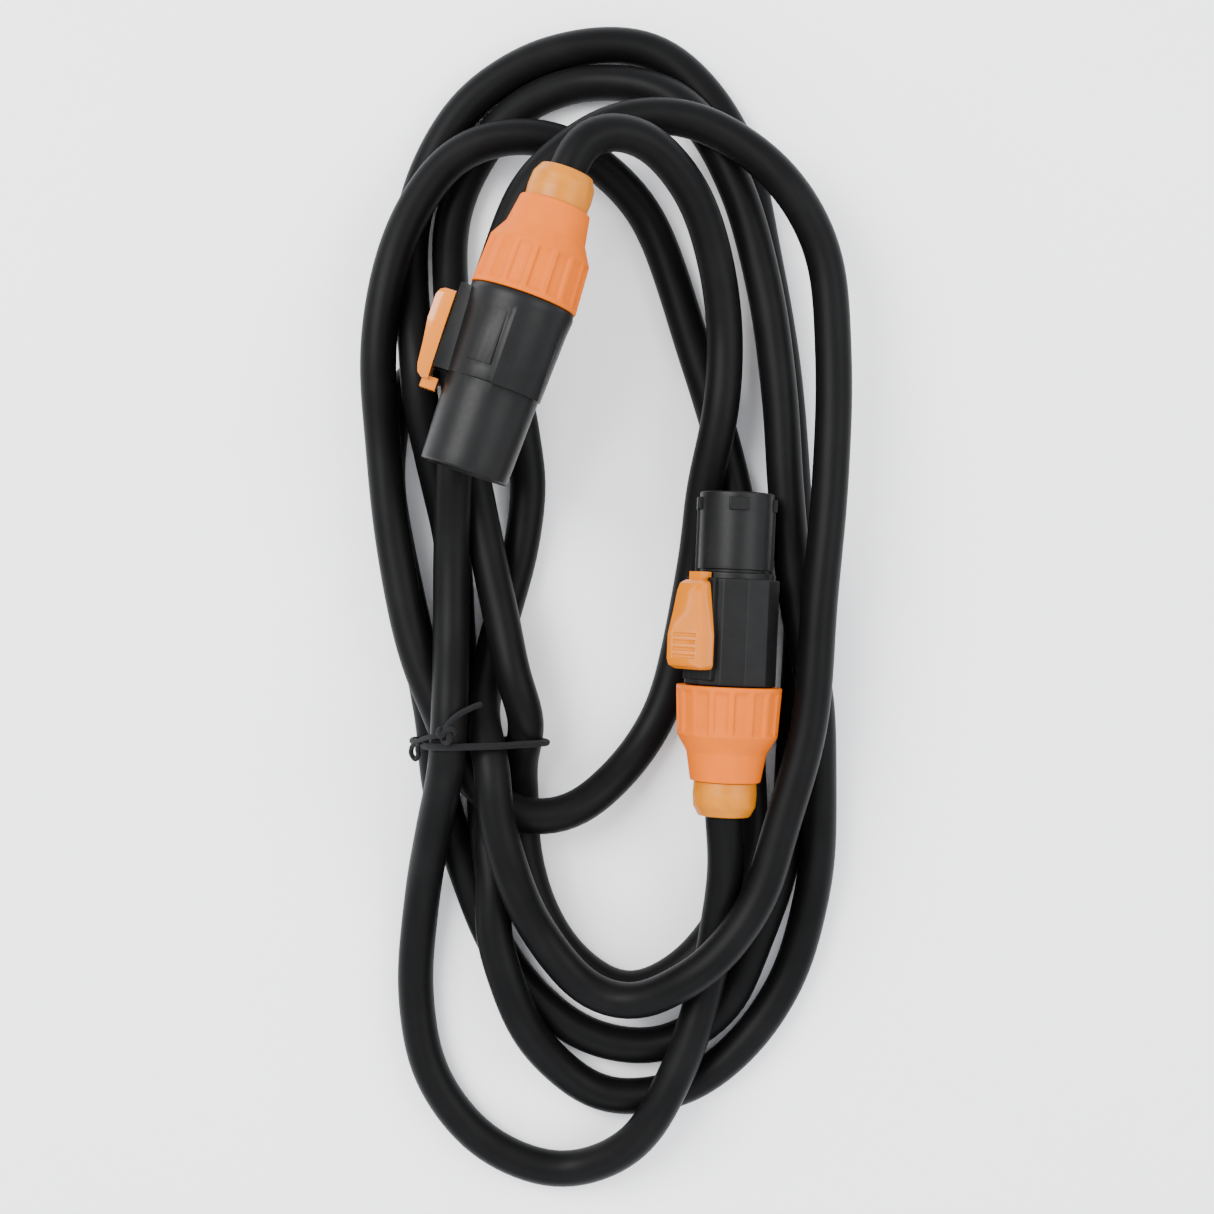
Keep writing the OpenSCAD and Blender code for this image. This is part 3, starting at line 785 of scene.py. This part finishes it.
def metal(name, colour, rough):
    """Turned or drawn metal with fine lines and small tarnish patches."""
    made = Shader(name)
    lines = made.noise(made.place((1, 1, 0.05)), 4000, 3)
    tarnish = made.noise(made.place(), 700, 5)
    low, middle, high = tones(colour, 0.78, 1.08)
    made.drive(Base_Color=made.ramp(tarnish, (0.25, low), (0.5, middle), (0.8, high)))
    made.drive(Roughness=made.spread(lines, rough - 0.08, rough + 0.12))
    made.drive(Normal=made.bump(lines, 0.15, 0.00003))
    made.fixed(Metallic=1.0)
    return made.material


def soft_rubber(name, colour, rough, shine=0.3):
    """Smooth moulded rubber with a light skin and gentle mottling."""
    made = Shader(name)
    here = made.place()
    cloud = made.noise(here, 230, 4)
    skin = made.noise(here, 2600, 4)
    low, middle, high = tones(colour, 0.86, 1.1)
    made.drive(Base_Color=made.ramp(cloud, (0.3, low), (0.5, middle), (0.75, high)))
    made.drive(Roughness=made.spread(cloud, rough - 0.06, rough + 0.1))
    made.drive(Normal=made.bump(skin, 0.2, 0.00004))
    made.fixed(Specular_IOR_Level=shine)
    return made.material


def striped_core():
    """Earth core: green insulation with a yellow stripe on each side."""
    made = Shader("core_green")
    wave = made.node("ShaderNodeTexWave", bands_direction="Z")
    wave.inputs["Scale"].default_value = 110
    wave.inputs["Distortion"].default_value = 0.6
    made.link(made.place(), wave.inputs["Vector"])
    made.drive(Base_Color=made.ramp(wave.outputs["Fac"], (0.45, (0.08, 0.32, 0.05)),
                                    (0.55, (0.8, 0.62, 0.04))))
    made.drive(Roughness=made.spread(made.noise(made.place(), 900), 0.3, 0.5))
    return made.material


MATERIALS = {
    "cord_rubber": rubber_jacket(),
    "tie_elastic": braid(),
    "connector_black": moulded("connector_black", (0.005, 0.005, 0.005), rough=0.38, grain=0.5,
                               vary=0.2, shine=0.13),
    "insert_black": moulded("insert_black", (0.007, 0.007, 0.008), rough=0.5, grain=0.35,
                            vary=0.2, shine=0.16),
    "contact_brass": metal("contact_brass", (0.83, 0.67, 0.42), rough=0.28),
    "screw_steel": metal("screw_steel", (0.62, 0.63, 0.66), rough=0.3),
    "core_brown": moulded("core_brown", (0.17, 0.07, 0.03), rough=0.38, grain=0.2),
    "core_blue": moulded("core_blue", (0.03, 0.13, 0.5), rough=0.38, grain=0.2),
    "core_green": striped_core(),
    "seal_rubber": soft_rubber("seal_rubber", (0.05, 0.05, 0.052), rough=0.6),
    "clamp_nylon": moulded("clamp_nylon", (0.74, 0.71, 0.63), rough=0.42, grain=0.25,
                           vary=0.06, soft=0.2),
    "nut_orange": moulded("nut_orange", (0.56, 0.108, 0.0005), rough=0.5, grain=0.4,
                          vary=0.05, shine=0.08),
    "boot_rubber": soft_rubber("boot_rubber", (0.43, 0.135, 0.0), rough=0.34, shine=0.2),
    "latch_orange": moulded("latch_orange", (0.52, 0.14, 0.0), rough=0.18, grain=0.04,
                            vary=0.03, coat=0.45, shine=0.15),
    "spring_steel": metal("spring_steel", (0.6, 0.61, 0.64), rough=0.26),
}


def dress(piece, slot_name):
    piece.data.materials.clear()
    piece.data.materials.append(MATERIALS[slot_name])


SLOT_OF = {row["node"]: row["material_slot"] for row in frame["record"]["subparts"]}
for name, piece in frame["nodes"].items():
    dress(piece, SLOT_OF[name])
    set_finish(piece, SLOT_OF[name])
for piece in (cord, tie_band, tie_knot, tail, loop_end, plug_housing, plug_fittings,
              *nuts.values(), *boots.values(), *springs.values()):
    dress(piece, piece["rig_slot"])

# ---------------------------------------------------------------- floor and light


FLOOR_REACH = 3.0            # m from the middle to each side
FLOOR_DROP = 0.0002          # m; keeps the floor clear of the cord's lowest faces


def add_floor():
    reach = FLOOR_REACH
    corners = [(-reach, -reach, 0), (reach, -reach, 0), (reach, reach, 0), (-reach, reach, 0)]
    floor = make_object("floor", corners, [(0, 1, 2, 3)], smooth=False)
    floor.location.z = -FLOOR_DROP
    made = Shader("floor_paper")
    cloud = made.noise(made.place(), 6, 3)
    made.drive(Base_Color=made.ramp(cloud, (0.3, (0.93, 0.93, 0.935)), (0.7, (0.95, 0.95, 0.955))))
    made.fixed(Roughness=0.8, Specular_IOR_Level=0.2)
    floor.data.materials.append(made.material)


def add_area(name, location, size, power):
    """A rectangular lamp that looks at the middle of the floor; power in watts."""
    data = bpy.data.lights.new(name, "AREA")
    data.shape = "RECTANGLE"
    data.size, data.size_y = size
    data.energy = power
    light = bpy.data.objects.new(name, data)
    light.location = location
    direction = Vector((0, 0, 0)) - Vector(location)
    light.rotation_euler = direction.to_track_quat("-Z", "Y").to_euler()
    bpy.context.scene.collection.objects.link(light)


def add_world():
    world = bpy.data.worlds.new("studio")
    world.use_nodes = True
    background = world.node_tree.nodes["Background"]
    background.inputs["Color"].default_value = (0.93, 0.95, 1.0, 1)
    background.inputs["Strength"].default_value = 1.9
    bpy.context.scene.world = world


add_floor()
add_world()
add_area("key", (-0.55, 0.35, 0.9), size=(0.5, 0.7), power=20)
add_area("fill", (0.7, 0.1, 0.8), size=(0.6, 0.6), power=7)
add_area("front", (0.0, -0.8, 0.7), size=(0.8, 0.3), power=3)
